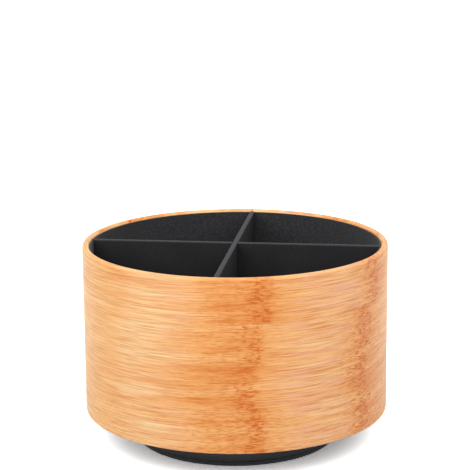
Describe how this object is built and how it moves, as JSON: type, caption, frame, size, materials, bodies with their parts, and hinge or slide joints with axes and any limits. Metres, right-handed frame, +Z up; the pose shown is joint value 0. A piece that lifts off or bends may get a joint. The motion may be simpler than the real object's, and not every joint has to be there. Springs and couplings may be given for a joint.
{
  "type": "rotating desk organizer",
  "caption": "Round bamboo desk organizer with open felt-lined compartments that turns on a black ball-bearing foot.",
  "frame": {"origin": "centre of the foot's underside, on the axis that the box turns about", "axes": "+Z up along the turning axis, +X along the long divider to the right seen from the front, +Y along the cross divider to the back, where the bamboo band has its seam"},
  "size_m": [0.18, 0.18, 0.1185],
  "materials": {
    "bamboo": "clear satin lacquer over bent bamboo laminate",
    "black_felt": "matt black felt",
    "black_board": "satin black paint on thin fibreboard",
    "foam_pad": "matt closed-cell foam",
    "zinc_plate": "bright zinc plating on pressed steel",
    "screw_zinc": "zinc plated",
    "ball_steel": "polished",
    "cage_nylon": "moulded, natural white"
  },
  "bodies": {
    "foot": {"anti_slip_pad": "foam_pad", "foot_disc": "black_board", "bearing_lower_plate": "zinc_plate", "lower_plate_screws": "screw_zinc"},
    "ball_ring": {"ball_cage": "cage_nylon", "bearing_balls": "ball_steel"},
    "organizer": {"bearing_upper_plate": "zinc_plate", "upper_plate_screws": "screw_zinc", "floor_panel": "black_board", "bamboo_shell": "bamboo", "long_divider": "black_board", "cross_divider": "black_board", "wall_lining_back_right": "black_felt", "floor_lining_back_right": "black_felt", "wall_lining_back_left": "black_felt", "floor_lining_back_left": "black_felt", "wall_lining_front_left": "black_felt", "floor_lining_front_left": "black_felt", "wall_lining_front_right": "black_felt", "floor_lining_front_right": "black_felt"}
  },
  "joints": [
    {"name": "organizer_turn", "type": "hinge", "parent": "foot", "child": "organizer", "pos_m": [0, 0, 0.0185], "axis": [0, 0, 1], "continuous": true},
    {"name": "ball_ring_roll", "type": "hinge", "parent": "foot", "child": "ball_ring", "pos_m": [0, 0, 0.0185], "axis": [0, 0, 1], "continuous": true}
  ],
  "couplings": [
    {"joint": "ball_ring_roll", "follows": "organizer_turn", "ratio": 0.5}
  ]
}
